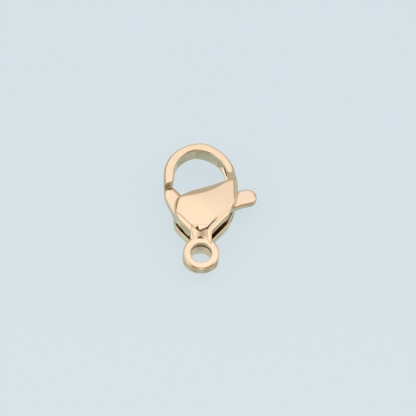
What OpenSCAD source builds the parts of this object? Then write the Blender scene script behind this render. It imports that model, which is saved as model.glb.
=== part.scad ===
// Lobster clasp: a slotted body with an eye and a loop, a lever that is gate and thumb tab in one,
// the pin that the lever turns on, and the wire spring that closes it. All lengths are in millimetres.
// The origin is the middle of the eye's hole, +Y runs to the loop, +X to the thumb tab, +Z out of the front.

/* [Eye] */
// Radius of the eye's hole
eye_hole_r = 0.87; // [0.6:0.01:1.1]
// Width of the metal round the hole
eye_ring_w = 0.56; // [0.35:0.01:0.8]
// Thickness of the eye at its free end
eye_end_t = 0.77; // [0.5:0.01:1.2]
// Slope of the eye's two faces, rising toward the cheeks
eye_slope = 10; // [4:1:14]

/* [Loop] */
// Height of the loop's crown above the eye's middle
loop_top_y = 10.6; // [9.5:0.1:13]
// Radius of the crown's right-hand arc
loop_right_r = 3.66; // [3.4:0.02:4]
// Radius of the crown's left-hand arc
loop_left_r = 3.05; // [2.8:0.02:3.4]
// Width of the loop's metal on the right
loop_w = 0.7; // [0.5:0.02:0.8]
// Width of the loop's metal down the left leg
hook_w = 0.74; // [0.5:0.02:0.9]
// Thickness of the loop, front to back
loop_t = 1.4; // [1:0.05:1.8]

/* [Cheeks] */
// Thickness of the body over its two panels
panel_t = 2.84; // [2.3:0.02:3.5]
// Slope of the bevels round each panel
bevel_slope = 45; // [38:1:55]
// Slope of the ramp from each panel down to the loop
ramp_slope = 27; // [20:1:35]
// Half-width of the neck above the eye
neck_half_w = 0.81; // [0.7:0.01:1]
// How far the cheeks reach to the left of the eye's middle
cheek_left_x = 2.16; // [1.8:0.02:2.4]
// How far the right shoulder reaches from the eye's middle
cheek_right_x = 2.9; // [2.7:0.02:3.2]

/* [Slot] */
// Width of the slot between the cheeks, front to back
slot_w = 0.78; // [0.75:0.01:0.95]
// Half-width of the slot's flat floor over the eye
slot_floor_half_w = 0.42; // [0.3:0.01:0.5]
// Height of the slot's floor above the eye's middle
slot_floor_y = 1.43; // [1.4:0.01:1.6]
// Radius of the pocket that the slot leaves in the right leg
pocket_r = 2.08; // [1.95:0.01:2.15]

/* [Lever] */
// Thickness of the lever's plate
lever_t = 0.64; // [0.5:0.01:0.68]
// Gap between the plate and the slot's front wall
lever_front_gap = 0.05; // [0.03:0.01:0.08]
// Gap between the gate's end and the hook's tip
gate_gap = 0.08; // [0.05:0.01:0.15]
// Length of the bevel on the front of the gate's end
gate_bevel = 0.3; // [0.1:0.02:0.4]
// How far the thumb tab's end is to the right of the eye's middle
tab_end_x = 4.46; // [4:0.02:5]
// Radius of the boss round the pin
boss_r = 0.7; // [0.66:0.01:0.72]

/* [Pin and spring] */
// How far the pin is to the left of the eye's middle
pin_left = 0.75; // [0.7:0.01:0.8]
// Height of the pin above the eye's middle
pin_y = 2.75; // [2.7:0.01:2.8]
// Radius of the pin
pin_r = 0.28; // [0.2:0.01:0.3]
// Radial clearance of the lever on the pin
pin_clearance = 0.02; // [0.01:0.005:0.04]
// Thickness of the spring's wire
wire_d = 0.12; // [0.08:0.01:0.13]
// Travel of the lever, in degrees
lever_travel = 30; // [20:1:30]

/* [Hidden] */
// Smoothness of round faces
$fn = 96;
// Steps of a rounded corner in an outline
CORNER_STEPS = 10;
// A length that is longer than the whole clasp
FAR = 20;
// Clearance of the pin in the cheeks, which only keeps the two solids apart
PIN_SEAT_GAP = 0.005;
// Clearance of the spring from the lever and the pin
SPRING_GAP = 0.05;

pin_at = [-pin_left, pin_y];
eye_r = eye_hole_r + eye_ring_w;
eye_shift = 0.08;
panel_z = panel_t / 2;

// The crown is the meeting of two discs, the left one to the right of the other and higher
crown_y = loop_top_y - loop_left_r;
left_disc_at = [0.08, crown_y];
right_disc_at = [-0.84, crown_y - 0.44];
hook_x = left_disc_at[0] - loop_left_r;
leg_foot_y = 6.2;

// The hook's tip and the gate's end are arcs round the pin, so the gate swings clear
hook_end_r = 4.32;
gate_end_r = hook_end_r - gate_gap;
gate_turn = 25;

// Where the eye's sloping face meets the rise to the panel, and how steep that rise is
valley_y = 1.87;
neck_rise_slope = 47;

// The ramp starts along a straight line over the panel: a point on it and its slope in the plan
ramp_at = [0.75, 5.55];
ramp_turn = 20;

lever_front_z = slot_w / 2 - lever_front_gap;
lever_back_z = lever_front_z - lever_t;
pin_bore_r = pin_r + pin_clearance;
coil_in_r = pin_r + SPRING_GAP;
coil_out_r = coil_in_r + wire_d;
coil_room_r = coil_out_r + SPRING_GAP;
coil_room_depth = lever_t / 2;
coil_z = lever_back_z + wire_d / 2;
leg_x = coil_in_r + wire_d / 2;
leg_r = 0.45 * wire_d;
leg_end_y = slot_floor_y + SPRING_GAP;

// The cheeks' outline, counterclockwise: [x, y, radius of the corner]
cheek_corners = [
    [-neck_half_w, 0.9, 0],
    [neck_half_w, 0.9, 0],
    [neck_half_w, 1.53, 0.5],
    [cheek_right_x - 0.28, 4.4, 0.9],
    [cheek_right_x + 0.1, 6.35, 4],
    [cheek_right_x - 0.38, 8.2, 0],
    [2.1, 8.2, 0],
    [2.12, 6.75, 0.2],
    [-cheek_left_x, 5.21, 1.1],
    [-cheek_left_x, 3.62, 0.6],
    [-neck_half_w, 1.56, 0.4]
];

// Each bevel falls away from a straight edge of the panel: [x, y, direction of the edge]
bevel_edges = [
    [neck_half_w + 0.24, 2.74, 51.3],
    [cheek_right_x - 0.47, 4.46, 73.3],
    [cheek_right_x - 0.4, 6.4, 93.2],
    [-neck_half_w - 0.06, 2.24, -47.2]
];

// The lever's outline without its boss, counterclockwise
lever_corners = [
    [-2.86, 7.4, 0],
    [-2.96, 5.62, 1.5],
    [-2.1, 3.4, 0.9],
    [-1.3, 2.33, 0.2],
    [-0.31, 2.2, 0],
    [2.62, 4.5, 1.2],
    [tab_end_x - 1.16, 5.0, 1.2],
    [tab_end_x, 5.12, 0.6],
    [tab_end_x - 0.01, 6.52, 0.64],
    [tab_end_x - 1.14, 6.5, 1],
    [2.3, 5.85, 0.5],
    [0.4, 5.15, 1.5],
    [-1.2, 5.2, 0.6],
    [-1.66, 5.9, 0.4],
    [-2.08, 6.4, 0.35],
    [-2.33, 6.52, 0.1],
    [-2.33, 7.4, 0]
];

// Points of the arc that rounds the corner b between a and c, or b itself where its radius is 0
function rounded_corner(a, b, c) =
    b[2] == 0 ? [[b[0], b[1]]] :
    let (
        to_a = unit([a[0] - b[0], a[1] - b[1]]),
        to_c = unit([c[0] - b[0], c[1] - b[1]]),
        half = acos(to_a * to_c) / 2,
        middle = unit(to_a + to_c),
        centre = [b[0], b[1]] + middle * (b[2] / sin(half)),
        from_a = [b[0], b[1]] + to_a * (b[2] / tan(half)) - centre,
        from_c = [b[0], b[1]] + to_c * (b[2] / tan(half)) - centre,
        start = atan2(from_a[1], from_a[0]),
        sweep = wrapped(atan2(from_c[1], from_c[0]) - start)
    )
    [for (i = [0:CORNER_STEPS])
        centre + b[2] * [cos(start + sweep * i / CORNER_STEPS), sin(start + sweep * i / CORNER_STEPS)]];

// Where a circle of radius r round the crown's right disc meets the height at which the legs begin
function arch_right_x(r) = right_disc_at[0] + sqrt(r * r - pow(crown_y - right_disc_at[1], 2));

function unit(v) = v / norm(v);

function wrapped(angle) = angle > 180 ? angle - 360 : angle < -180 ? angle + 360 : angle;

// An outline with its corners rounded, from rows of [x, y, radius]
function rounded_outline(rows) =
    let (n = len(rows))
    [for (i = [0:n - 1]) each rounded_corner(rows[(i + n - 1) % n], rows[i], rows[(i + 1) % n])];

module disc(at, r) {
    translate(at) circle(r);
}

// The arch that the crown's two discs share above the legs, drawn in by a width on each side
module arch(left_w, right_w) {
    intersection() {
        disc(left_disc_at, loop_left_r - left_w);
        disc(right_disc_at, loop_right_r - right_w);
        translate([-FAR / 2, crown_y]) square(FAR);
    }
}

// The crown and the hook's leg in the plan, ending in an arc round the pin
module hook_plan() {
    difference() {
        union() {
            arch(0, 0);
            polygon([
                [hook_x, crown_y],
                [hook_x + 0.07, leg_foot_y],
                [hook_x + hook_w - 0.08, leg_foot_y],
                [hook_x + hook_w, crown_y]
            ]);
        }
        arch(hook_w, loop_w);
        disc(pin_at, hook_end_r);
    }
}

// The right leg in the plan, from the crown down into the cheeks
module right_leg_plan() {
    polygon([
        [arch_right_x(loop_right_r - loop_w), crown_y],
        [cheek_right_x - 0.78, leg_foot_y],
        [cheek_right_x - 0.05, leg_foot_y],
        [arch_right_x(loop_right_r), crown_y]
    ]);
}

// Takes away what lies over the eye's sloping face and the rise to the panel
module eye_face_cut() {
    end_z = eye_end_t / 2;
    valley_z = end_z + (valley_y + eye_r) * tan(eye_slope);
    rise_y = valley_y + (panel_z - valley_z) / tan(neck_rise_slope);
    start_z = end_z - tan(eye_slope);
    rotate([90, 0, 90])
        linear_extrude(FAR, center = true)
            polygon([
                [-eye_r - 1, start_z],
                [valley_y, valley_z],
                [rise_y, panel_z],
                [rise_y, panel_z + 1],
                [-eye_r - 1, panel_z + 1]
            ]);
}

module ramp_cut() {
    translate([ramp_at[0], ramp_at[1], panel_z])
        rotate([0, 0, ramp_turn])
            rotate([-ramp_slope, 0, 0])
                translate([-FAR / 2, 0, 0])
                    cube([FAR, FAR / 2, FAR / 4]);
}

// One bevel down from an edge that runs through at, turned in the plan; outward is to the right of it
module bevel_cut(at, turn) {
    translate([at[0], at[1], panel_z])
        rotate([0, 0, turn])
            rotate([bevel_slope, 0, 0])
                translate([-FAR / 2, -FAR / 2, 0])
                    cube([FAR, FAR / 2, FAR / 4]);
}

// The front half of the eye and one cheek
module front_half() {
    difference() {
        union() {
            translate([0, eye_shift]) cylinder(h = panel_z, r = eye_r);
            difference() {
                linear_extrude(panel_z) polygon(rounded_outline(cheek_corners));
                for (edge = bevel_edges)
                    bevel_cut([edge[0], edge[1]], edge[2]);
            }
        }
        eye_face_cut();
        ramp_cut();
    }
}

// The slot in the plan: the room between the cheeks, and the right leg's pocket
module slot_plan() {
    polygon([
        [slot_floor_half_w, slot_floor_y],
        [4.5, 4.25],
        [4.5, 6.32],
        [2.36, 6.32],
        [2.36, 7.2],
        [1.2, 7.2],
        [-1.5, 6.3],
        [-4, 6.3],
        [-4, 4.1],
        [-slot_floor_half_w, slot_floor_y]
    ]);
    intersection() {
        disc([0.3, 7.2], pocket_r);
        translate([1, 6.5]) square([3, 4]);
    }
}

module body() {
    color("#e8c09c")
        difference() {
            union() {
                front_half();
                mirror([0, 0, 1]) front_half();
                linear_extrude(loop_t, center = true) {
                    hook_plan();
                    right_leg_plan();
                }
            }
            linear_extrude(slot_w, center = true) slot_plan();
            cylinder(h = FAR, r = eye_hole_r, center = true);
            translate(pin_at) cylinder(h = FAR, r = pin_r + PIN_SEAT_GAP, center = true);
        }
}

module lever_plan() {
    intersection() {
        union() {
            polygon(rounded_outline(lever_corners));
            disc(pin_at, boss_r);
        }
        union() {
            disc(pin_at, gate_end_r);
            square([FAR, FAR]);
        }
    }
}

// Room for the coil and for its leg, which stays behind as the lever swings
module spring_room_plan() {
    circle(coil_room_r);
    for (swing = [0:lever_travel / 5:lever_travel])
        rotate(swing)
            translate([leg_x - wire_d / 2 - SPRING_GAP, -3])
                square([wire_d + 2 * SPRING_GAP, 3]);
}

// Takes away the front corner of the gate's end
module gate_bevel_cut() {
    translate([pin_at[0], pin_at[1], lever_front_z])
        rotate([0, 0, gate_turn])
            translate([0, gate_end_r - gate_bevel, 0])
                rotate([-45, 0, 0])
                    translate([-FAR / 2, 0, 0])
                        cube([FAR, FAR / 2, FAR / 4]);
}

module lever() {
    color("#f0c8a4")
        difference() {
            translate([0, 0, lever_back_z]) linear_extrude(lever_t) lever_plan();
            gate_bevel_cut();
            translate(pin_at) cylinder(h = FAR, r = pin_bore_r, center = true);
            translate([pin_at[0], pin_at[1], lever_back_z - 1])
                linear_extrude(1 + coil_room_depth) spring_room_plan();
        }
}

module pivot_pin() {
    color("#d9b08c")
        translate(pin_at) cylinder(h = panel_t, r = pin_r, center = true);
}

// Two turns of wire as one sleeve, and the straight leg that stands on the slot's floor
module spring() {
    color("#9a9a96")
        translate([pin_at[0], pin_at[1], coil_z]) {
            difference() {
                translate([0, 0, -wire_d / 2]) cylinder(h = 2 * wire_d, r = coil_out_r);
                cylinder(h = FAR, r = coil_in_r, center = true);
            }
            translate([leg_x, 0, wire_d / 2])
                rotate([90, 0, 0]) cylinder(h = pin_y - leg_end_y, r = leg_r);
        }
}

body();
lever();
pivot_pin();
spring();
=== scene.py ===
"""Looks of a small lobster clasp: polished rose-gold metal, closed, lying on its back on a pale surface.

The body and the lever are solids given by distances: plan outlines, planes and softened edges. A net of small
faces then covers each. The spring is a Geometry Nodes coil. Sizes are in millimetres until a mesh is made.
"True" in a number's name means that it turns a height above a slope into a distance from it.
"""

from __future__ import annotations

import logging

import math
from dataclasses import dataclass
from enum import Enum
from typing import Any, Callable

import bmesh
import bpy
import numpy as np
from mathutils import Matrix, Vector

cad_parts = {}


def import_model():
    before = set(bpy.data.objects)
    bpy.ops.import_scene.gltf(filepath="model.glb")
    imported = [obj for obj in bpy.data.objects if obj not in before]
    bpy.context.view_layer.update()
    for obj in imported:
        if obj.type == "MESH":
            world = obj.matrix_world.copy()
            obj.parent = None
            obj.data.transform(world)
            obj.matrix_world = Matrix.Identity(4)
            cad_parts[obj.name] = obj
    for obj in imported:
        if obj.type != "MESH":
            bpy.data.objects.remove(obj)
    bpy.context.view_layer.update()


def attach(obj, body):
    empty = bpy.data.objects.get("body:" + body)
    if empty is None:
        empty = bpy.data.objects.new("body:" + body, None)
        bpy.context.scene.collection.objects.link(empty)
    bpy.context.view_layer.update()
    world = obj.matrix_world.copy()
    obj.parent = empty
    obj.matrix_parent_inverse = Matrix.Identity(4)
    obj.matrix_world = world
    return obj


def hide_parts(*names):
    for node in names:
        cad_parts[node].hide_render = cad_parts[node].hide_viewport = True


log = logging.getLogger("lobster_clasp")

Array = np.ndarray
Node = bpy.types.Node
Socket = bpy.types.NodeSocket
Spot = tuple[float, float]
Row = tuple[float, float, float]
Colour = tuple[float, float, float]
Distance = Callable[[Array, Array, Array], Array]

MM = 0.001
PLAN_LOW = (-3.5, -1.9)
PLAN_HIGH = (5.0, 11.2)
CORNER_STEPS = 32
PIN_AT = (-0.75, 2.75)
LEG_AT = (1.98, 7.84)
LEG_WAY = (0.9595, 0.2817)


class Wear(Enum):
    """How a surface was finished after casting."""

    BUFFED = "buffed"
    DRAWN = "drawn"


def soft_max(a: Array, b: Array, width: float) -> Array:
    """The solid that two solids share, with the edge between them rounded.

    Args:
        a: Signed distances to the first solid.
        b: Signed distances to the second solid.
        width: How far from the edge the rounding starts.

    Returns:
        Signed distances to what they share.
    """
    return np.maximum(a, b) + np.maximum(width - np.abs(a - b), 0.0) ** 2 / (4 * width)


def soft_min(a: Array, b: Array, width: float) -> Array:
    """Two solids joined, with the corner between them filled; it takes and returns what soft_max does."""
    return -soft_max(-a, -b, width)


def ease(low: float, high: float, x: Array) -> Array:
    """0 below low, 1 above high, and a smooth rise between them."""
    t = np.clip((x - low) / (high - low), 0.0, 1.0)
    return t * t * (3 - 2 * t)


def disc(x: Array, y: Array, centre: Spot, radius: float) -> Array:
    """Signed distances to a disc in the plan."""
    return np.hypot(x - centre[0], y - centre[1]) - radius


def past(x: Any, y: Any, start: Spot, way: Spot) -> Any:
    """How far places are past a start, measured one way in the plan."""
    return (x - start[0]) * way[0] + (y - start[1]) * way[1]


def under(height: Array, outward: Array, degrees: float) -> Array:
    """Signed distances to the solid under a plane that falls outward at a slope."""
    slope = math.radians(degrees)
    return (height + outward * math.tan(slope)) * math.cos(slope)


def rounded_outline(rows: tuple[Row, ...]) -> Array:
    """Rounds the corners of an outline.

    Args:
        rows: Corners, counterclockwise: x, y and the radius of the corner.

    Returns:
        The outline's points.
    """
    points: list[Array] = []
    for i, (bx, by, radius) in enumerate(rows):
        corner = np.array((bx, by))
        if radius == 0:
            points.append(corner)
            continue
        sides = [np.array(rows[j % len(rows)][:2]) - corner for j in (i - 1, i + 1)]
        before, after = (side / np.linalg.norm(side) for side in sides)
        half = math.acos(float(np.clip(before @ after, -1, 1))) / 2
        middle = (before + after) / np.linalg.norm(before + after)
        centre = corner + middle * radius / math.sin(half)
        first = corner + before * radius / math.tan(half) - centre
        last = corner + after * radius / math.tan(half) - centre
        start = math.atan2(first[1], first[0])
        sweep = (math.atan2(last[1], last[0]) - start + math.pi) % (2 * math.pi) - math.pi
        for angle in start + sweep * np.linspace(0, 1, CORNER_STEPS + 1):
            points.append(centre + radius * np.array((math.cos(angle), math.sin(angle))))
    return np.array(points)


def cut_corners(points: tuple[Spot, ...], rounds: int) -> list[Spot]:
    """Smooths an open line by cutting its corners.

    Args:
        points: The line's points.
        rounds: How often the corners are cut.

    Returns:
        The smooth line's points, with the same two ends.
    """
    line = list(points)
    for _ in range(rounds):
        cut = [line[0]]
        for (ax, ay), (bx, by) in zip(line, line[1:]):
            cut.append((0.75 * ax + 0.25 * bx, 0.75 * ay + 0.25 * by))
            cut.append((0.25 * ax + 0.75 * bx, 0.25 * ay + 0.75 * by))
        line = cut + [line[-1]]
    return line


class Outline:
    """A closed outline in the plan, with its signed distances kept on a fine grid."""

    def __init__(self, points: Array, step: float) -> None:
        """Measures the distances.

        Args:
            points: The outline's points.
            step: Step of the grid.
        """
        self.step = step
        xs = np.arange(PLAN_LOW[0], PLAN_HIGH[0] + step, step)
        ys = np.arange(PLAN_LOW[1], PLAN_HIGH[1] + step, step)
        px, py = np.meshgrid(xs, ys, indexing="ij")
        nearest = np.full(px.shape, np.inf)
        inside = np.zeros(px.shape, bool)
        for (ax, ay), (bx, by) in zip(points, np.roll(points, -1, 0)):
            ex, ey = bx - ax, by - ay
            length = ex * ex + ey * ey
            if length < 1e-14:
                continue
            wx, wy = px - ax, py - ay
            t = np.clip((wx * ex + wy * ey) / length, 0, 1)
            nearest = np.minimum(nearest, (wx - ex * t) ** 2 + (wy - ey * t) ** 2)
            if ey != 0:
                inside ^= ((ay > py) != (by > py)) & (px < ex * (py - ay) / ey + ax)
        self.grid = np.where(inside, -1.0, 1.0) * np.sqrt(nearest)

    def at(self, x: Array, y: Array) -> Array:
        """Reads the grid between its points.

        Args:
            x, y: Places in the plan.

        Returns:
            Signed distances there, negative inside.
        """
        nx, ny = self.grid.shape
        u = np.clip((x - PLAN_LOW[0]) / self.step, 0, nx - 1.001)
        v = np.clip((y - PLAN_LOW[1]) / self.step, 0, ny - 1.001)
        i, j = u.astype(int), v.astype(int)
        fu, fv = u - i, v - j
        g = self.grid
        low = (1 - fv) * g[i, j] + fv * g[i, j + 1]
        high = (1 - fv) * g[i + 1, j] + fv * g[i + 1, j + 1]
        return (1 - fu) * low + fu * high


@dataclass
class SurfaceNet:
    """Covers a solid that is given by its distances with a net of quads."""

    distance: Distance
    low: Row
    high: Row
    cell: float
    settle_rounds: int = 3
    probe: float = 0.012
    least_slope: float = 0.2

    def slope(self, p: Array) -> Array:
        """The distance's gradient.

        Args:
            p: Points, a row each.

        Returns:
            The gradients, a row each.
        """
        rises = [self.distance(*(p + s).T) - self.distance(*(p - s).T) for s in self.probe * np.eye(3)]
        return np.stack(rises, 1) / (2 * self.probe)

    def settle(self, p: Array, rounds: int) -> Array:
        """Moves points onto the solid's surface.

        Args:
            p: Points, a row each.
            rounds: How often they are moved.

        Returns:
            The points on the surface.
        """
        for _ in range(rounds):
            d = self.distance(*p.T)
            g = self.slope(p)
            length = np.maximum((g * g).sum(1), self.least_slope)
            move = g * (np.clip(d, -self.cell, self.cell) / length)[:, None]
            p = p - move
        return p

    def values(self) -> Array:
        """Measures the corners of every cell.

        Returns:
            The distances there.
        """
        axes = [np.arange(a, b + self.cell, self.cell) for a, b in zip(self.low, self.high)]
        values = np.empty([len(a) for a in axes])
        gx, gy = np.meshgrid(axes[0], axes[1], indexing="ij")
        for k, z in enumerate(axes[2]):
            values[:, :, k] = self.distance(gx, gy, np.full(gx.shape, z))
        return values

    def points(self, values: Array) -> tuple[Array, Array]:
        """Puts one point in each cell that the surface passes through.

        Args:
            values: The distances at the cells' corners.

        Returns:
            The points, and each cell's point number or -1.
        """
        corners = list(np.ndindex(2, 2, 2))
        shape = tuple(n - 1 for n in values.shape)

        def corner(a: Array, c: tuple[int, ...]) -> Array:
            """One corner of every cell."""
            return a[tuple(slice(i, i + n) for i, n in zip(c, shape))]

        count = sum(corner(values < 0, c).astype(np.int8) for c in corners)
        active = (count > 0) & (count < len(corners))
        index = np.full(shape, -1, int)
        cells = np.argwhere(active)
        index[active] = np.arange(len(cells))
        total = np.zeros((len(cells), 3))
        hits = np.zeros(len(cells))
        for a in corners:
            for axis in range(3):
                if a[axis]:
                    continue
                b = list(a)
                b[axis] = 1
                fa, fb = corner(values, a)[active], corner(values, tuple(b))[active]
                crossed = (fa < 0) != (fb < 0)
                t = np.where(crossed, fa / np.where(crossed, fa - fb, 1.0), 0.0)
                point = cells + np.array(a, float)
                point[:, axis] += t
                total[crossed] += point[crossed]
                hits[crossed] += 1
        return np.array(self.low) + self.cell * total / hits[:, None], index

    @staticmethod
    def quads(solid: Array, index: Array) -> Array:
        """Joins the points round each grid edge that crosses the surface.

        Args:
            solid: Which corners of the cells are inside.
            index: Each cell's point number.

        Returns:
            The quads, facing outwards.
        """
        quads = []
        for axis in range(3):
            u, v = (axis + 1) % 3, (axis + 2) % 3
            low = [slice(1, -1)] * 3
            low[axis] = slice(0, -1)
            high = list(low)
            high[axis] = slice(1, None)
            here, there = solid[tuple(low)], solid[tuple(high)]
            base = np.argwhere(here != there)
            leaves = here[here != there]
            ring = []
            for shift in ((1, 1), (0, 1), (0, 0), (1, 0)):
                near = base.copy()
                near[:, [u, v]] += shift
                ring.append(index[tuple(near.T)])
            face = np.stack(ring, 1)
            face[~leaves] = face[~leaves][:, ::-1]
            quads.append(face)
        return np.concatenate(quads)

    def normals(self, points: Array) -> Array:
        """The solid's outward directions at points on it."""
        slope = self.slope(points)
        return slope / np.maximum(np.linalg.norm(slope, axis=1), 1e-9)[:, None]

    def cover(self) -> tuple[Array, Array, Array]:
        """Makes the net.

        Returns:
            The points, the quads and the normals at the points.
        """
        values = self.values()
        points, index = self.points(values)
        quads = self.quads(values < 0, index)
        points = self.relax(self.settle(points, 2), quads)
        return points, quads, self.normals(points)

    def relax(self, points: Array, quads: Array) -> Array:
        """Evens out the quads along the surface.

        Args:
            points: The net's points.
            quads: The net's quads.

        Returns:
            The points, moved and settled again.
        """
        for _ in range(self.settle_rounds):
            total = np.zeros_like(points)
            hits = np.zeros(len(points))
            for s in range(4):
                a, b = quads[:, s], quads[:, (s + 1) % 4]
                for own, other in ((a, b), (b, a)):
                    np.add.at(total, own, points[other])
                    np.add.at(hits, own, 1)
            g = self.normals(points)
            move = total / np.maximum(hits, 1)[:, None] - points
            move -= g * (move * g).sum(1)[:, None]
            points = self.settle(points + 0.5 * move, 1)
        return self.settle(points, 1)


def link(name: str, data: bpy.types.ID) -> bpy.types.Object:
    """Makes an object of a mesh or a camera and puts it in the scene."""
    made = bpy.data.objects.new(name, data)
    bpy.context.scene.collection.objects.link(made)
    return made


def net_object(name: str, net: SurfaceNet) -> bpy.types.Object:
    """Makes a mesh object from a net, with the solid's own normals.

    Args:
        name: The piece's name.
        net: The net, in millimetres.

    Returns:
        The new object, in metres, at the origin.
    """
    points, quads, normals = net.cover()
    mesh = bpy.data.meshes.new(name)
    mesh.from_pydata((points * MM).tolist(), [], quads.tolist())
    mesh.validate()
    mesh.shade_smooth()
    if len(mesh.vertices) == len(normals):
        mesh.normals_split_custom_set_from_vertices(normals.tolist())
    return link(name, mesh)


class Nodes:
    """Adds nodes to one node tree."""

    def __init__(self, tree: bpy.types.NodeTree) -> None:
        """Keeps the tree."""
        self.tree = tree

    @classmethod
    def of(cls, holder: bpy.types.ID) -> Nodes:
        """Empties the tree of a material or a world."""
        holder.use_nodes = True
        holder.node_tree.nodes.clear()
        return cls(holder.node_tree)

    def make(self, kind: str, settings: dict[str, Any] | None = None, **sockets: Any) -> Node:
        """Adds a node.

        Args:
            kind: The node's type.
            settings: Its settings, which are set first.
            sockets: Values, Terms, sockets or nodes, which stand for their first output, by the
                input's name, with _ for a space.

        Returns:
            The node.
        """
        node = self.tree.nodes.new(kind)
        for key, value in (settings or {}).items():
            setattr(node, key, value)
        for key, value in sockets.items():
            socket = self.find(node, key.replace("_", " "))
            if isinstance(value, Term):
                value = value.socket
            if isinstance(value, Node):
                value = value.outputs[0]
            if isinstance(value, Socket):
                self.tree.links.new(value, socket)
            else:
                socket.default_value = value
        return node

    @staticmethod
    def find(node: Node, name: str) -> Socket:
        """The enabled input of that name, or of that number after an I."""
        if name[0] == "I" and name[1:].isdigit():
            return node.inputs[int(name[1:])]
        return next(s for s in node.inputs if s.name == name and s.enabled)

    def term(self, socket: Socket | Node) -> Term:
        """Wraps a socket, or a node's first output, for arithmetic."""
        return Term(self, socket)

    def plan(self, place: Node) -> list[Term]:
        """The place on the piece: x, y and z in millimetres."""
        spot = self.make("ShaderNodeSeparateXYZ", Vector=place.outputs["Object"])
        return [self.term(spot.outputs[axis]) * (1 / MM) for axis in "XYZ"]

    def blend(self, factor: Term, a: Any, b: Any) -> Socket:
        """Mixes two colours.

        Args:
            factor: 0 for the first colour and 1 for the second.
            a: The first colour, or its socket.
            b: The second colour, or its socket.

        Returns:
            The mixed colour's socket.
        """
        node = self.make("ShaderNodeMix", {"data_type": "RGBA"}, Factor=factor)
        for socket, value in ((node.inputs[6], a), (node.inputs[7], b)):
            if isinstance(value, Socket):
                self.tree.links.new(value, socket)
            else:
                socket.default_value = (*value, 1.0)
        return node.outputs[2]


class Term:
    """A number that varies over a surface, for arithmetic."""

    def __init__(self, nodes: Nodes, socket: Socket | Node) -> None:
        """Keeps the tree and the socket."""
        self.nodes = nodes
        self.socket = socket

    def math(self, operation: str, a: Any, b: Any = None) -> Term:
        """Adds one Math node.

        Args:
            operation: The node's operation.
            a: Its first number.
            b: Its second number, if it has one.

        Returns:
            Its result.
        """
        sockets = {"I0": a} if b is None else {"I0": a, "I1": b}
        node = self.nodes.make("ShaderNodeMath", {"operation": operation}, **sockets)
        return Term(self.nodes, node)

    def __add__(self, other: Any) -> Term:
        """Sum."""
        return self.math("ADD", self, other)

    __radd__ = __add__

    def __sub__(self, other: Any) -> Term:
        """Difference."""
        return self.math("SUBTRACT", self, other)

    def __rsub__(self, other: Any) -> Term:
        """Difference from a number."""
        return self.math("SUBTRACT", other, self)

    def __mul__(self, other: Any) -> Term:
        """Product."""
        return self.math("MULTIPLY", self, other)

    __rmul__ = __mul__

    def __abs__(self) -> Term:
        """Size without the sign."""
        return self.math("ABSOLUTE", self)

    def __or__(self, other: Term) -> Term:
        """Either of two marks, each 1 where it is."""
        return 1 - (1 - self) * (1 - other)

    def least(self, low: float) -> Term:
        """The number, or low where it is less."""
        return self.math("MAXIMUM", self, low)

    def hypot(self, other: Term) -> Term:
        """The length of two numbers at right angles."""
        return self.math("SQRT", self * self + other * other)

    def near(self, place: float, inner: float, outer: float) -> Term:
        """1 within inner of a place, and 0 beyond outer."""
        return 1 - abs(self - place).between(inner, outer)

    def span(self, rise: Spot, fall: Spot) -> Term:
        """1 between a rise and a fall, each from one number to another."""
        return self.between(*rise) * (1 - self.between(*fall))

    def between(self, low: float, high: float) -> Term:
        """0 at low and 1 at high, smooth and held outside them."""
        smooth = {"interpolation_type": "SMOOTHSTEP"}
        node = self.nodes.make("ShaderNodeMapRange", smooth, Value=self, From_Min=low, From_Max=high)
        return Term(self.nodes, node)


ShadeMark = tuple[Term, Colour]


@dataclass(frozen=True)
class MetalFinish:
    """A polished metal: clear on the flat sides; on the walls a darker, olive colour is painted in as their
    shade and reflection, and their gloss is a little softer.
    """

    name: str
    face: Colour
    face_shift: Colour
    wall_shade: Colour
    face_roughness: float = 0.1
    wall_roughness: float = 0.22
    wear: Wear = Wear.BUFFED
    # Colours of painted shade in slots, creases, grooves and under edges.
    shade_tone: Colour = (0.32, 0.2, 0.11)
    deep_shade_tone: Colour = (0.11, 0.06, 0.03)
    mist_scale: float = 420.0
    mist_roughness: float = 0.02
    grain_scale: float = 9000.0
    grain_roughness: float = 0.05
    grain_depth: float = 0.00001
    drawn_stretch: float = 12.0

    def painted_shade(self, nodes: Nodes, place: Node, flat: Term) -> list[ShadeMark]:
        """Where shade is painted, and its colours; none on a plain piece."""
        return []

    def material(self) -> bpy.types.Material:
        """Builds the material.

        Returns:
            The material, on Object coordinates.
        """
        mat = bpy.data.materials.new(self.name)
        nodes = Nodes.of(mat)
        place = nodes.make("ShaderNodeTexCoord")
        here = place.outputs["Object"]
        turn = nodes.make("ShaderNodeSeparateXYZ", Vector=place.outputs["Normal"])
        flat = abs(nodes.term(turn.outputs["Z"])).between(0.25, 0.8)
        cloud = nodes.make("ShaderNodeTexNoise", Vector=here, Scale=self.mist_scale)
        mist = nodes.term(cloud).between(0.35, 0.65)
        faces = nodes.blend(mist, self.face, self.face_shift)
        # The walls get a darker, olive colour: painted shade and reflection, not a different metal.
        colour = nodes.blend(flat, self.wall_shade, faces)
        # Painted shade: each mark darkens the colour where it lies.
        for where, shade in self.painted_shade(nodes, place, flat):
            colour = nodes.blend(where, colour, shade)
        stretch = self.drawn_stretch if self.wear is Wear.DRAWN else 1.0
        grid = (self.grain_scale, self.grain_scale, self.grain_scale * stretch)
        lie = nodes.make("ShaderNodeMapping", Vector=here, Scale=grid)
        grain = nodes.make("ShaderNodeTexNoise", Vector=lie, Scale=1.0, Detail=3.0, Roughness=0.6)
        fine = nodes.term(grain)
        roughness = (
            self.wall_roughness
            + flat * (self.face_roughness - self.wall_roughness)
            + fine.between(0.3, 0.75) * self.grain_roughness
            + mist * self.mist_roughness
        )
        bump = nodes.make("ShaderNodeBump", Strength=0.03, Distance=self.grain_depth, Height=fine)
        shader = nodes.make(
            "ShaderNodeBsdfPrincipled", Base_Color=colour, Metallic=1.0, Roughness=roughness, Normal=bump
        )
        nodes.make("ShaderNodeOutputMaterial", Surface=shader)
        return mat


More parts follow.
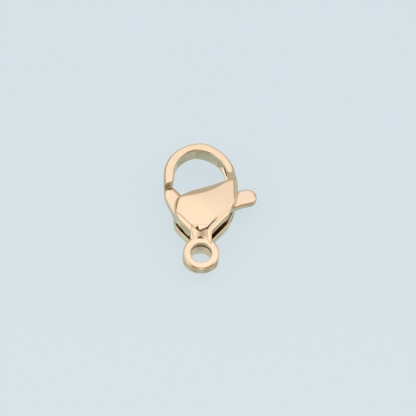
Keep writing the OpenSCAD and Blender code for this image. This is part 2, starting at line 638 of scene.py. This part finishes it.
@dataclass(frozen=True)
class CastBodyFinish(MetalFinish):
    """The body's metal, with shade painted into its slot, the gate's room, the neck's creases and the eye's
    groove. A pair of numbers is a painted mark's soft edge.
    """

    slot_edge_at: Spot = (-0.863, 1.744)
    slot_edge_way: Spot = (0.754, 0.657)
    crease_at: Spot = (-0.1, 1.929)
    crease_left: float = 0.38
    crease_right: float = 0.29
    crease_steep: float = 0.54
    steep_from: float = 0.62
    panel_edge_at: Spot = (1.05, 2.74)
    panel_edge_way: Spot = (0.78, -0.625)
    nick_at: Spot = (-0.33, 2.08)
    rim_y: float = 0.08
    rim_r: float = 1.22
    pit_x: float = -0.08
    shade_band_x: float = -0.06
    step_z: float = 0.36

    def painted_shade(self, nodes: Nodes, place: Node, flat: Term) -> list[ShadeMark]:
        """Where shade is painted on the body.

        Args:
            nodes: The material's nodes.
            place: The coordinates' node.
            flat: 1 where the surface is level.

        Returns:
            The painted shade's masks, each 1 where it is, with their colours.
        """
        x, y, z = nodes.plan(place)
        level = abs(z)
        return [
            # Painted shade in the slot and in the gate's room.
            (self.slot(x, y, level) * flat | self.gate_room(x, y, level), self.shade_tone),
            # Deeper painted shade on the neck's creases and in the eye's groove.
            (self.neck(x, y, level) | self.eye_step(x, y, z) * 0.9, self.deep_shade_tone),
        ]

    def slot(self, x: Term, y: Term, level: Term) -> Term:
        """Painted shade on the inner faces of the cheeks, in the slot."""
        inward = past(x, y, self.slot_edge_at, self.slot_edge_way)
        return level.near(0, 0.393, 0.415) * inward.between(0.11, 0.16) * y.span((1.3, 1.5), (6.4, 6.8))

    def gate_room(self, x: Term, y: Term, level: Term) -> Term:
        """Painted shade in the room for the gate in the right leg."""
        room = past(x, y, LEG_AT, LEG_WAY).span((0.17, 0.21), (0.44, 0.46)) * level.near(0, 0.42, 0.46)
        return room * y.span((7.2, 7.5), (9.1, 9.2)) * x.between(1.4, 1.5)

    def neck(self, x: Term, y: Term, level: Term) -> Term:
        """Painted shade on the neck: the crease and its nick, the panel's lower edge, the pit, the ring's rim
        and a faint band below the crease.

        Args:
            x, y: Place in the plan.
            level: Height from the middle.

        Returns:
            1 where shade is painted.
        """
        right, left = (x - self.crease_at[0]).least(0), (self.crease_at[0] - x).least(0)
        above = y - self.crease_at[1] - left * self.crease_left - right * self.crease_right
        steep = (right - self.steep_from).least(0) * self.crease_steep
        crease = (above - steep).near(0, 0.03, 0.09) * x.span((-0.5, -0.36), (0.5, 0.65))
        crease = crease | (x - self.nick_at[0]).hypot(y - self.nick_at[1]).near(0, 0.07, 0.13)
        edge = past(x, y, self.panel_edge_at, self.panel_edge_way).near(0, 0.04, 0.09)
        edge = edge * x.between(0.42, 0.5) * y.span((1.9, 2.0), (2.6, 3.2))
        past_rim = x.hypot(y - self.rim_y) - self.rim_r
        pit = (abs(x - self.pit_x) + past_rim * 0.9).near(0, 0.19, 0.27) * past_rim.between(-0.03, 0.01)
        rim = past_rim.near(0, 0.015, 0.05) * x.span((0.0, 0.15), (0.4, 0.65))
        shade_band = x.near(self.shade_band_x, 0.12, 0.42) * y.between(1.15, 1.32) * (1 - above.between(-0.12, 0.0))
        # All the neck's painted shade marks together.
        marks = crease * 0.85 | edge * 0.85 | pit | rim * 0.4 | shade_band * 0.32
        return marks * level.between(0.62, 0.72) * y.between(1.0, 1.1)

    def eye_step(self, x: Term, y: Term, z: Term) -> Term:
        """Painted shade in the groove in the eye's hole, on the side of the neck."""
        groove = z.near(self.step_z, 0.09, 0.13) * x.hypot(y).near(0, 1.12, 1.16)
        return groove * (y + x * 0.6).between(-0.6, 0.0)


@dataclass(frozen=True)
class LeverFinish(MetalFinish):
    """The lever's metal, with a painted shadow line where the tab leaves the cheeks and painted shade at the
    gate's end.
    """

    root_at: Spot = (2.66, 4.72)
    root_way: Spot = (0.973, -0.232)
    tip_at: Spot = (-2.44, 6.25)
    tip_way: Spot = (0.95, 0.3)
    tip_squash: float = 1.6125

    def painted_shade(self, nodes: Nodes, place: Node, flat: Term) -> list[ShadeMark]:
        """Painted shade: the line at the tab's root, on the front and the back, and the gate's end.

        Args:
            nodes: The material's nodes.
            place: The coordinates' node.
            flat: 1 where the surface is level.

        Returns:
            The painted shade's masks, with their colour.
        """
        x, y, _ = nodes.plan(place)
        root = past(x, y, self.root_at, self.root_way).near(0, 0.02, 0.09)
        root = root * y.between(4.3, 4.7) * flat
        across_way = (-self.tip_way[1], self.tip_way[0])
        across = past(x, y, self.tip_at, across_way) * self.tip_squash
        tip = past(x, y, self.tip_at, self.tip_way).hypot(across).near(0, 0.14, 0.24)
        # Painted shadow at the tab's root and painted shade at the gate's end.
        return [(root * 0.6 | tip * 0.75, self.shade_tone)]


# The wall colours below are painted shade and reflection, darker and more olive than the faces.
SHADED_WALL = (0.8, 0.72, 0.56)
BODY_METAL = CastBodyFinish("body_metal", (0.95, 0.73, 0.53), (0.97, 0.77, 0.57), SHADED_WALL, 0.06, 0.16)
LEVER_METAL = LeverFinish("lever_metal", (0.95, 0.72, 0.54), (0.96, 0.75, 0.57), SHADED_WALL, 0.06, 0.16)
PIN_METAL = MetalFinish("pin_metal", (0.93, 0.73, 0.56), (0.95, 0.76, 0.59), (0.8, 0.7, 0.55))
SPRING_WIRE = MetalFinish(
    "spring_wire", (0.62, 0.61, 0.58), (0.66, 0.65, 0.62), (0.6, 0.59, 0.56), 0.2, 0.25, Wear.DRAWN
)


@dataclass(frozen=True)
class Bevel:
    """A flat cut beside a panel: a point on its upper edge, turn and slope in degrees, and rounding."""

    at: Spot
    turn: float
    slope: float
    edge: float = 0.1

    def outward(self, x: Array, y: Array) -> Array:
        """How far places in the plan are beyond the upper edge."""
        turn = math.radians(self.turn)
        return past(x, y, self.at, (math.sin(turn), -math.cos(turn)))


@dataclass
class ClaspBody:
    """The cast body: eye ring, neck, two cheeks with their bevels, right leg, loop and hook's tip.

    An arc is its centre and radius. A row of an outline is a corner and its radius.
    """

    cell: float
    step: float
    eye_at: Spot = (0.0, 0.08)
    eye_r: float = 1.43
    eye_low_y: float = -1.35
    eye_end_z: float = 0.385
    eye_slope: float = 10.0
    eye_edge: float = 0.26
    eye_edge_drop: float = 0.06
    hole_at: Spot = (0.0, 0.055)
    hole_r: float = 0.84
    groove_at: Spot = (0.03, 0.11)
    groove_z: float = 0.37
    groove_r: float = 0.12
    panel_z: float = 1.42
    panel_crown: float = 0.012
    panel_middle: Spot = (0.2, 4.1)
    cheek_edge: float = 0.09
    cheek_soft: float = 0.36
    rise_y: float = 2.27
    rise_slope: float = 1.34
    rise_true: float = 0.6
    trough_at: Spot = (-0.1, 1.92)
    trough_z: float = 0.95
    trough_slope: float = 0.42
    trough_left: float = 0.35
    trough_right: float = 0.27
    trough_steep: float = 0.5
    trough_steep_from: float = 0.62
    trough_true: float = 0.9
    loop_z: float = 0.7
    leg_bevel: float = 0.38
    lip: float = 0.07
    slot_z: float = 0.39
    mouth_front: float = 0.26
    mouth_back: float = 0.05
    room_depth: float = 0.42
    room_end: float = 9.08
    pin_hole_r: float = 0.285
    pin_hole_z: float = 1.2
    hook_end_r: float = 4.32
    ramp_slope: float = 27.0
    outer_left: Row = (0.08, 7.55, 3.05)
    outer_right: Row = (-0.84, 7.11, 3.66)
    inner_left: Row = (0.06, 7.745, 2.19)
    inner_right: Row = (-0.52, 7.237, 2.645)
    pits: tuple[tuple[float, ...], ...] = ((-0.33, 2.08, 1.12, 0.09), (-0.08, 1.37, 0.92, 0.1))
    cheek_rows: tuple[Row, ...] = (
        (-0.93, 0.9, 0), (0.83, 0.9, 0), (0.83, 1.78, 0.4), (2.2, 3.47, 1.2), (2.74, 4.95, 1.0),
        (3.04, 6.35, 4), (2.52, 8.2, 0), (2.1, 8.2, 0), (2.12, 6.75, 0.2), (-2.15, 5.21, 1.35),
        (-2.16, 3.23, 2.1), (-0.85, 1.8, 0.3),
    )
    bevels: tuple[Bevel, ...] = (
        Bevel((1.05, 2.74), 51.3, 30.0), Bevel((2.43, 4.46), 73.3, 36.0),
        Bevel((2.44, 6.4), 93.2, 45.0, 0.04), Bevel((-0.819, 2.288), -47.2, 45.0),
    )
    panel_edge: tuple[Spot, ...] = (
        (-6.0, 3.6), (-2.2, 4.66), (-0.81, 5.03), (-0.21, 5.19), (0.68, 5.49), (1.43, 5.87),
        (2.02, 6.29), (2.5, 6.4), (5.0, 6.95),
    )
    slot_corners: tuple[Spot, ...] = (
        (0.42, 1.43), (4.5, 4.25), (4.5, 6.32), (2.36, 6.32), (2.36, 7.2), (1.2, 7.2), (-1.5, 6.3),
        (-4.0, 6.3), (-4.0, 4.1), (-0.42, 1.43),
    )

    def __post_init__(self) -> None:
        """Measures the outlines."""
        self.cheek = Outline(rounded_outline(self.cheek_rows), self.step)
        self.slot = Outline(np.array(self.slot_corners), self.step)
        edge = cut_corners(self.panel_edge, 3)
        self.beyond_edge = Outline(np.array(edge + [(5.0, 14.0), (-6.0, 14.0)]), self.step)
        outer = self.crown(self.outer_left, self.outer_right, [(2.72, 5.8)], [(-2.9, 6.2), (-2.86, 5.8)])
        inner = self.crown(self.inner_left, self.inner_right, [(2.12, 5.2)], [(-2.3, 6.2), (-2.36, 5.2)])
        self.outer = Outline(outer, self.step)
        self.inner = Outline(inner, self.step)

    @staticmethod
    def crown(left: Row, right: Row, start: list[Spot], end: list[Spot]) -> Array:
        """The outline of an arch whose left and right arcs meet in a crease.

        Args:
            left: The left arc.
            right: The right arc.
            start: Points up the right leg.
            end: Points down the left leg.

        Returns:
            The outline's points, counterclockwise.
        """
        points = list(start)
        for own, other, first, last in ((right, left, 0, 130), (left, right, 50, 180)):
            for turn in np.radians(np.linspace(first, last, last - first + 1)):
                p = (own[0] + own[2] * math.cos(turn), own[1] + own[2] * math.sin(turn))
                if math.dist(p, other[:2]) <= other[2]:
                    points.append(p)
        return np.array(points + end)

    def cheeks(self, x: Array, y: Array, up: Array) -> Array:
        """Signed distances to the two cheeks and the neck, before the slot.

        Args:
            x, y: Places in the plan.
            up: Heights from the middle.

        Returns:
            The distances.
        """
        mx, my = self.panel_middle
        height = up - self.panel_z
        top = height + self.panel_crown * ((x - mx) ** 2 + (y - my) ** 2)
        for bevel in self.bevels:
            top = soft_max(top, under(height, bevel.outward(x, y), bevel.slope), bevel.edge)
        top = soft_max(top, under(height, -self.beyond_edge.at(x, y), self.ramp_slope), 0.05)
        rise = (height - self.rise_slope * (y - self.rise_y)) * self.rise_true
        across = x - self.trough_at[0]
        sides = self.trough_left * np.maximum(-across, 0) + self.trough_right * np.maximum(across, 0)
        sides = sides + self.trough_steep * np.maximum(across - self.trough_steep_from, 0)
        bed = self.trough_z + self.trough_slope * (y - self.trough_at[1]) + sides
        top = soft_max(top, soft_min(rise, (up - bed) * self.trough_true, 0.05), 0.03)
        soft = ease(3.0, 4.6, y) * (1 - ease(-1.6, -0.6, x))
        return soft_max(self.cheek.at(x, y), top, self.cheek_edge + self.cheek_soft * soft)

    def eye(self, x: Array, y: Array, up: Array) -> Array:
        """Signed distances to the eye's ring, before its hole.

        Args:
            x, y: Places in the plan.
            up: Heights from the middle.

        Returns:
            The distances.
        """
        face = under(up - self.eye_end_z, self.eye_low_y - y, self.eye_slope)
        edge = self.eye_edge - self.eye_edge_drop * ease(-1.0, -0.3, y)
        return soft_max(disc(x, y, self.eye_at, self.eye_r), face, edge)

    def loop(self, x: Array, y: Array, z: Array) -> Array:
        """Signed distances to the loop, its right leg and the hook.

        Args:
            x, y, z: Places.

        Returns:
            The distances.
        """
        up = np.abs(z)
        outer = self.outer.at(x, y)
        lip = ease(7.0, 7.5, y) * (1 - ease(8.0, 8.4, y)) * ease(0.8, 1.2, x) * (z < 0)
        ring = soft_max(outer, -self.inner.at(x, y) - self.lip * lip, 0.05)
        ring = soft_max(ring, up - self.loop_z, 0.2)
        width = self.leg_bevel * (1 - ease(6.9, 8.9, y)) * ease(0.0, 1.0, x)
        ring = soft_max(ring, (up - self.loop_z + outer + width) * math.sqrt(0.5), 0.1)
        return soft_max(ring, -disc(x, y, PIN_AT, self.hook_end_r), 0.05)

    def gate_room(self, x: Array, y: Array, z: Array) -> Array:
        """Signed distances to the room in the right leg, whose back rim slopes.

        Args:
            x, y, z: Places.

        Returns:
            The distances.
        """
        straight = past(x, y, LEG_AT, LEG_WAY)
        blend = ease(7.5, 7.9, y)
        inward = blend * straight + (1 - blend) * (self.inner.at(x, y) + 0.06)
        deep = np.where(y > 7.2, inward - self.room_depth, x - 2.36)
        room = np.maximum(np.maximum(deep, z - self.slot_z), np.maximum(1.0 - x, 6.5 - y))
        room = np.maximum(room, straight * 0.2 + y - self.room_end)
        floor = -self.slot_z - 0.58 * np.maximum(0.18 - inward, 0) - 1.1 * np.maximum(-inward, 0)
        return np.maximum(room, (floor - z) * 0.8)

    def distance(self, x: Array, y: Array, z: Array) -> Array:
        """Signed distances to the whole body.

        Args:
            x, y, z: Places.

        Returns:
            The distances.
        """
        up = np.abs(z)
        body = soft_min(self.cheeks(x, y, up), self.eye(x, y, up), 0.03)
        for px, py, pz, radius in self.pits:
            body = soft_max(body, radius - np.sqrt((x - px) ** 2 + (y - py) ** 2 + (z - pz) ** 2), 0.02)
        body = soft_min(body, self.loop(x, y, z), 0.04)
        plan = self.slot.at(x, y)
        slot = np.maximum(plan, up - self.slot_z)
        body = soft_max(body, -slot, np.where(z < 0, 0.1, 0.03 + 0.06 * ease(-0.5, 0.3, x)))
        lift = np.where(z > 0, self.mouth_front, self.mouth_back)
        lift = lift * ease(0.3, 0.8, x) * (1 - ease(4.2, 4.8, y))
        flare = (up - self.slot_z - lift - self.cheek.at(x, y)) * math.sqrt(0.5)
        groove_r = self.groove_r * ease(-0.6, -0.2, y)
        groove = np.hypot(disc(x, y, self.groove_at, self.hole_r), z - self.groove_z) - groove_r
        for away, edge in (
            (np.maximum(plan, flare), 0.03),
            (self.gate_room(x, y, z), 0.04),
            (disc(x, y, self.hole_at, self.hole_r), 0.06),
            (groove, 0.02),
        ):
            body = soft_max(body, -away, edge)
        pin = np.maximum(disc(x, y, PIN_AT, self.pin_hole_r), up - self.pin_hole_z)
        return np.maximum(body, -pin)

    def build(self) -> bpy.types.Object:
        """Makes the body's mesh and dresses it.

        Returns:
            The piece.
        """
        net = SurfaceNet(self.distance, (-3.15, -1.55, -1.6), (3.2, 10.8, 1.6), self.cell)
        piece = net_object("clasp_body_metal", net)
        piece.data.materials.append(BODY_METAL.material())
        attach(piece, "clasp_body")
        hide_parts("body")
        return piece


@dataclass
class ClaspLever:
    """The lever: the gate at the left, the boss on the pin, and the thumb tab at the right."""

    cell: float
    step: float
    boss_r: float = 0.62
    gate_end_r: float = 4.24
    gate_turn: float = 25.0
    gate_bevel: float = 0.3
    gate_slope: float = 0.47
    shoulder: float = 0.28
    back_z: float = -0.3
    front_z: float = 0.34
    bore_r: float = 0.3
    coil_room_r: float = 0.5
    slit_z: float = -0.09
    slit_depth: float = 0.25
    leg_x: float = 0.39
    leg_room: float = 0.22
    travel: float = 30.0
    rows: tuple[Row, ...] = (
        (-2.86, 7.4, 0), (-2.96, 5.62, 1.5), (-2.02, 3.42, 0.9), (-0.95, 2.05, 0.12), (-0.31, 2.1, 0),
        (2.62, 4.62, 1.2), (3.3, 4.91, 1.2), (4.46, 5.27, 0.66), (4.45, 6.52, 0.72), (3.32, 6.5, 1),
        (2.3, 5.85, 0.5), (0.4, 5.15, 1.5), (-1.2, 5.2, 0.6), (-1.66, 5.9, 0.4), (-2.08, 6.4, 0.35),
        (-2.33, 6.52, 0.1), (-2.33, 7.4, 0),
    )

    def __post_init__(self) -> None:
        """Measures the outline."""
        self.outline = Outline(rounded_outline(self.rows), self.step)

    def coil_room(self, x: Array, y: Array) -> Array:
        """Signed distances in the plan to the spring's room, at every angle of the lever.

        Args:
            x, y: Places in the plan.

        Returns:
            The distances.
        """
        room = disc(x, y, PIN_AT, self.coil_room_r)
        for swing in np.radians(np.linspace(0, self.travel, 6)):
            cos, sin = math.cos(swing), math.sin(swing)
            across, along = past(x, y, PIN_AT, (cos, sin)), past(x, y, PIN_AT, (-sin, cos))
            room = np.minimum(room, np.maximum(np.abs(across - self.leg_x) - self.leg_room / 2, along))
        return room

    def distance(self, x: Array, y: Array, z: Array) -> Array:
        """Signed distances to the lever.

        Args:
            x, y, z: Places.

        Returns:
            The distances.
        """
        plan = np.minimum(self.outline.at(x, y), disc(x, y, PIN_AT, self.boss_r))
        reach = np.minimum(disc(x, y, PIN_AT, self.gate_end_r), np.maximum(-x, -y))
        plan = soft_max(plan, reach, 0.06)
        middle = (self.front_z + self.back_z) / 2
        thick = np.abs(z - middle) - (self.front_z - self.back_z) / 2
        edge = 0.03 + 0.17 * ease(3.3, 4.1, y) + 0.05 * ease(2.8, 3.3, x)
        lever = soft_max(plan, thick, edge)
        shoulder = self.shoulder * ease(5.0, 5.6, y) * ease(-2.5, -2.2, x) * (x < 0)
        slant = (thick + (plan + shoulder) * self.gate_slope) * 0.9
        lever = soft_max(lever, slant, 0.05)
        depth = self.slit_depth * (1 - ease(3.1, 3.5, y)) * (x < -0.4)
        lever = soft_max(lever, -np.maximum(z - self.slit_z, -plan - depth), 0.02)
        turn = math.radians(self.gate_turn)
        along = past(x, y, PIN_AT, (-math.sin(turn), math.cos(turn)))
        bevel = (z - self.front_z + along - self.gate_end_r + self.gate_bevel) * math.sqrt(0.5)
        lever = soft_max(lever, bevel, 0.06)
        lever = soft_max(lever, -disc(x, y, PIN_AT, self.bore_r), 0.02)
        return soft_max(lever, -np.maximum(self.coil_room(x, y), z - middle), 0.02)

    def build(self) -> bpy.types.Object:
        """Makes the lever's mesh and dresses it.

        Returns:
            The piece.
        """
        net = SurfaceNet(self.distance, (-3.15, 1.8, -0.5), (4.65, 7.1, 0.5), self.cell)
        piece = net_object("clasp_lever_metal", net)
        piece.data.materials.append(LEVER_METAL.material())
        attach(piece, "clasp_lever")
        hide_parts("lever")
        return piece


@dataclass
class PivotPin:
    """The pin in the two cheeks, with broken edges; its ends stay under the polished panels."""

    radius: float = 0.28
    half_length: float = 1.19
    edge: float = 0.03
    sides: int = 64

    def build(self) -> bpy.types.Object:
        """Makes the pin's mesh and dresses it.

        Returns:
            The piece.
        """
        mesh = bpy.data.meshes.new("pivot_pin_metal")
        shape = bmesh.new()
        bmesh.ops.create_cone(
            shape,
            cap_ends=True,
            segments=self.sides,
            radius1=self.radius * MM,
            radius2=self.radius * MM,
            depth=2 * self.half_length * MM,
            matrix=Matrix.Translation((PIN_AT[0] * MM, PIN_AT[1] * MM, 0)),
        )
        rims = [e for e in shape.edges if abs(e.verts[0].co.z - e.verts[1].co.z) < 1e-9]
        bmesh.ops.bevel(shape, geom=rims, offset=self.edge * MM, segments=3, profile=0.5, affect="EDGES")
        bmesh.ops.recalc_face_normals(shape, faces=shape.faces)
        shape.to_mesh(mesh)
        shape.free()
        mesh.shade_smooth()
        mesh.set_sharp_from_angle(angle=math.radians(40))
        piece = link("pivot_pin_metal", mesh)
        mesh.materials.append(PIN_METAL.material())
        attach(piece, "clasp_body")
        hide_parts("pivot_pin")
        return piece


@dataclass
class GateSpring:
    """The spring: close turns of wire round the pin and a straight leg down to the slot's floor."""

    wire_d: float = 0.12
    coil_r: float = 0.39
    coil_low_z: float = -0.24
    wire_slack: float = 0.96
    pitch_slack: float = 0.98
    turns: float = 2.0
    leg_end_y: float = 1.48
    wire_sides: int = 14
    turn_steps: int = 48

    def tree(self) -> bpy.types.NodeTree:
        """Builds the node tree: a spiral and a line, both swept with the wire's circle.

        Returns:
            The tree, with named inputs for its sizes.
        """
        tree = bpy.data.node_groups.new("wound_wire", "GeometryNodeTree")
        for way, kind, names in (
            ("INPUT", "Geometry", ["Geometry"]),
            ("INPUT", "Float", ["Coil radius", "Wire radius", "Pitch height", "Turns"]),
            ("INPUT", "Vector", ["Coil place", "Leg start", "Leg end"]),
            ("INPUT", "Material", ["Metal"]),
            ("OUTPUT", "Geometry", ["Geometry"]),
        ):
            for name in names:
                tree.interface.new_socket(name, in_out=way, socket_type="NodeSocket" + kind)
        nodes = Nodes(tree)
        sizes = nodes.make("NodeGroupInput").outputs
        spiral = nodes.make(
            "GeometryNodeCurveSpiral",
            Resolution=self.turn_steps,
            Rotations=sizes["Turns"],
            Start_Radius=sizes["Coil radius"],
            End_Radius=sizes["Coil radius"],
            Height=sizes["Pitch height"],
        )
        coil = nodes.make("GeometryNodeTransform", Geometry=spiral, Translation=sizes["Coil place"])
        leg = nodes.make("GeometryNodeCurvePrimitiveLine", Start=sizes["Leg start"], End=sizes["Leg end"])
        paths = nodes.make("GeometryNodeJoinGeometry", Geometry=coil)
        tree.links.new(leg.outputs[0], paths.inputs[0])
        wire = nodes.make(
            "GeometryNodeCurvePrimitiveCircle", Resolution=self.wire_sides, Radius=sizes["Wire radius"]
        )
        swept = nodes.make("GeometryNodeCurveToMesh", Curve=paths, Profile_Curve=wire, Fill_Caps=True)
        smooth = nodes.make("GeometryNodeSetShadeSmooth", Geometry=swept)
        real = nodes.make("GeometryNodeRealizeInstances", Geometry=smooth)
        dressed = nodes.make("GeometryNodeSetMaterial", Geometry=real, Material=sizes["Metal"])
        nodes.make("NodeGroupOutput", Geometry=dressed)
        return tree

    def build(self) -> bpy.types.Object:
        """Makes the spring's mesh and dresses it.

        Returns:
            The piece.
        """
        tree = self.tree()
        leg_x = PIN_AT[0] + self.coil_r
        height = self.wire_d * self.pitch_slack
        leg_z = self.coil_low_z + height
        values = {
            "Coil radius": self.coil_r * MM,
            "Wire radius": self.wire_d / 2 * self.wire_slack * MM,
            "Pitch height": height * MM,
            "Turns": self.turns,
            "Coil place": (PIN_AT[0] * MM, PIN_AT[1] * MM, self.coil_low_z * MM),
            "Leg start": (leg_x * MM, PIN_AT[1] * MM, leg_z * MM),
            "Leg end": (leg_x * MM, self.leg_end_y * MM, leg_z * MM),
            "Metal": SPRING_WIRE.material(),
        }
        source = link("spring_source", bpy.data.meshes.new("spring_source"))
        modifier = source.modifiers.new("wound_wire", "NODES")
        modifier.node_group = tree
        for item in tree.interface.items_tree:
            if item.in_out == "INPUT" and item.name in values:
                modifier[item.identifier] = values[item.name]
        bpy.context.view_layer.update()
        graph = bpy.context.evaluated_depsgraph_get()
        mesh = bpy.data.meshes.new_from_object(source.evaluated_get(graph))
        mesh.name = "gate_spring_wire"
        source.modifiers.remove(modifier)
        bpy.data.objects.remove(source)
        piece = link("gate_spring_wire", mesh)
        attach(piece, "clasp_body")
        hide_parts("spring")
        return piece


@dataclass(frozen=True)
class Softbox:
    """One soft light of the studio: where it is seen, its half-widths in degrees and its colour."""

    toward: Row
    inner: float
    outer: float
    colour: Colour


@dataclass
class Studio:
    """The pale surface, the soft light and the camera."""

    floor_z: float = -1.42
    floor_half: float = 600.0
    floor_near: Colour = (0.72, 0.82, 0.875)
    floor_far: Colour = (0.705, 0.805, 0.86)
    floor_shade: float = 0.22
    mirrored_far: Colour = (0.48, 0.53, 0.475)
    mirrored_near: Colour = (0.53, 0.525, 0.45)
    mirrored_low: float = 0.75
    mirrored_ripple: float = 0.5
    mirrored_left: float = 0.2
    mirrored_right: float = 0.15
    room: Colour = (0.36, 0.24, 0.15)
    room_low: Colour = (0.45, 0.43, 0.36)
    lamps: tuple[Softbox, ...] = (
        Softbox((0.2, -0.5, 0.84), 18, 40, (0.6, 0.46, 0.34)),
        Softbox((0.05, 0.99, 0.08), 22, 34, (0.5, 0.52, 0.47)),
        Softbox((0.03, 0.42, 0.91), 20, 46, (0.93, 0.91, 0.865)),
        Softbox((-0.03, 0.44, 0.897), 3, 14, (1.05, 1.03, 0.975)),
        Softbox((-0.76, 0.28, 0.6), 10, 20, (1.1, 1.08, 1.04)),
        Softbox((0.03, 0.05, 1.0), 8, 30, (1.07, 1.06, 1.02)),
        Softbox((-0.87, -0.28, 0.41), 16, 32, (1.08, 1.04, 0.98)),
        Softbox((0.82, 0.09, 0.55), 22, 36, (1.08, 1.04, 0.98)),
        Softbox((0.04, -0.95, 0.3), 9, 19, (1.12, 1.11, 1.08)),
        Softbox((0.62, 0.05, 0.79), 4, 10, (0.9, 0.83, 0.77)),
        Softbox((-0.42, -0.165, 0.89), 7, 18, (0.72, 0.66, 0.58)),
    )
    frame_px: float = 416.0
    px_per_mm: float = 12.58
    right: Row = (0.99883, -0.00004, 0.0487)
    up: Row = (-0.0271, 0.82997, 0.5571)
    middle: Spot = (0.575, 3.952)
    lens_mm: float = 800.0
    sensor_mm: float = 36.0

    def camera(self) -> None:
        """Makes the camera: a long lens over the eye's end, so there is next to no perspective."""
        right = Vector(self.right).normalized()
        back = right.cross(Vector(self.up)).normalized()
        up = back.cross(right).normalized()
        data = bpy.data.cameras.new("camera")
        data.lens = self.lens_mm
        data.sensor_width = self.sensor_mm
        data.clip_start = 0.001
        data.clip_end = 5.0
        camera = link("camera", data)
        distance = self.frame_px / self.px_per_mm * self.lens_mm / self.sensor_mm
        place = right * self.middle[0] + up * self.middle[1] + back * distance
        turn = Matrix((right, up, back)).transposed().to_4x4()
        camera.matrix_world = Matrix.Translation(place * MM) @ turn
        bpy.context.scene.camera = camera

    def floor(self) -> None:
        """Makes the pale surface that the clasp lies on."""
        half, z = self.floor_half * MM, self.floor_z * MM
        corners = [(-half, -half, z), (half, -half, z), (half, half, z), (-half, half, z)]
        mesh = bpy.data.meshes.new("floor")
        mesh.from_pydata(corners, [], [(0, 1, 2, 3)])
        floor = link("floor", mesh)
        mat = bpy.data.materials.new("pale_floor")
        nodes = Nodes.of(mat)
        place = nodes.make("ShaderNodeTexCoord")
        x, y, _ = nodes.plan(place)
        colour = nodes.blend(y.between(-12.0, 20.0), self.floor_near, self.floor_far)
        glow = nodes.make("ShaderNodeEmission", Color=colour)
        card = nodes.make("ShaderNodeBsdfDiffuse", Color=colour)
        seen = nodes.make("ShaderNodeMixShader", Fac=self.floor_shade, I1=glow, I2=card)
        cloud = nodes.make("ShaderNodeTexNoise", Vector=place.outputs["Object"], Scale=700.0, Detail=1.0)
        tone = nodes.blend(y.between(-2.2, 4.0), self.mirrored_near, self.mirrored_far)
        brightness = (
            nodes.term(cloud).between(0.3, 0.7) * self.mirrored_ripple
            + (1 - x.between(-2.8, 0.0)) * self.mirrored_left
            + x.between(4.0, 14.0) * self.mirrored_right
            + self.mirrored_low
        )
        mirrored = nodes.make("ShaderNodeEmission", Color=tone, Strength=brightness)
        ray = nodes.make("ShaderNodeLightPath").outputs["Is Camera Ray"]
        both = nodes.make("ShaderNodeMixShader", Fac=ray, I1=mirrored, I2=seen)
        nodes.make("ShaderNodeOutputMaterial", Surface=both)
        mesh.materials.append(mat)

    def sky(self) -> None:
        """Makes the light: a dim warm room with the soft boxes in it."""
        world = bpy.data.worlds.new("studio")
        bpy.context.scene.world = world
        nodes = Nodes.of(world)
        here = nodes.make("ShaderNodeTexCoord").outputs["Generated"]
        along = nodes.make("ShaderNodeSeparateXYZ", Vector=here)
        height = nodes.term(along.outputs["Z"])
        colour = nodes.blend(height.between(-0.05, 0.12), self.room_low, self.room)
        for lamp in self.lamps:
            way = tuple(Vector(lamp.toward).normalized())
            facing = nodes.make("ShaderNodeVectorMath", {"operation": "DOT_PRODUCT"}, I0=here, I1=way)
            outer, inner = math.cos(math.radians(lamp.outer)), math.cos(math.radians(lamp.inner))
            inside = nodes.term(facing.outputs["Value"]).between(outer, inner)
            colour = nodes.blend(inside, colour, lamp.colour)
        light = nodes.make("ShaderNodeBackground", Color=colour)
        nodes.make("ShaderNodeOutputWorld", Surface=light)

    def build(self) -> None:
        """Makes everything round the clasp."""
        self.camera()
        self.floor()
        self.sky()
        bpy.context.scene.view_settings.view_transform = "Standard"


CELL, QUICK_CELL = 0.048, 0.1
STEP, QUICK_STEP = 0.02, 0.04
LEVER_SHARE = 0.8


def main() -> None:
    """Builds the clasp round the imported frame."""
    logging.basicConfig(level=logging.INFO, format="%(message)s")
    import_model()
    Studio().build()
    cell, step = ((CELL, STEP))
    lever = ClaspLever(cell * LEVER_SHARE, step)
    for maker in (ClaspBody(cell, step), lever, PivotPin(), GateSpring()):
        piece = maker.build()
        log.info("%s: %d faces", piece.name, len(piece.data.polygons))


if __name__ == "__main__":
    main()
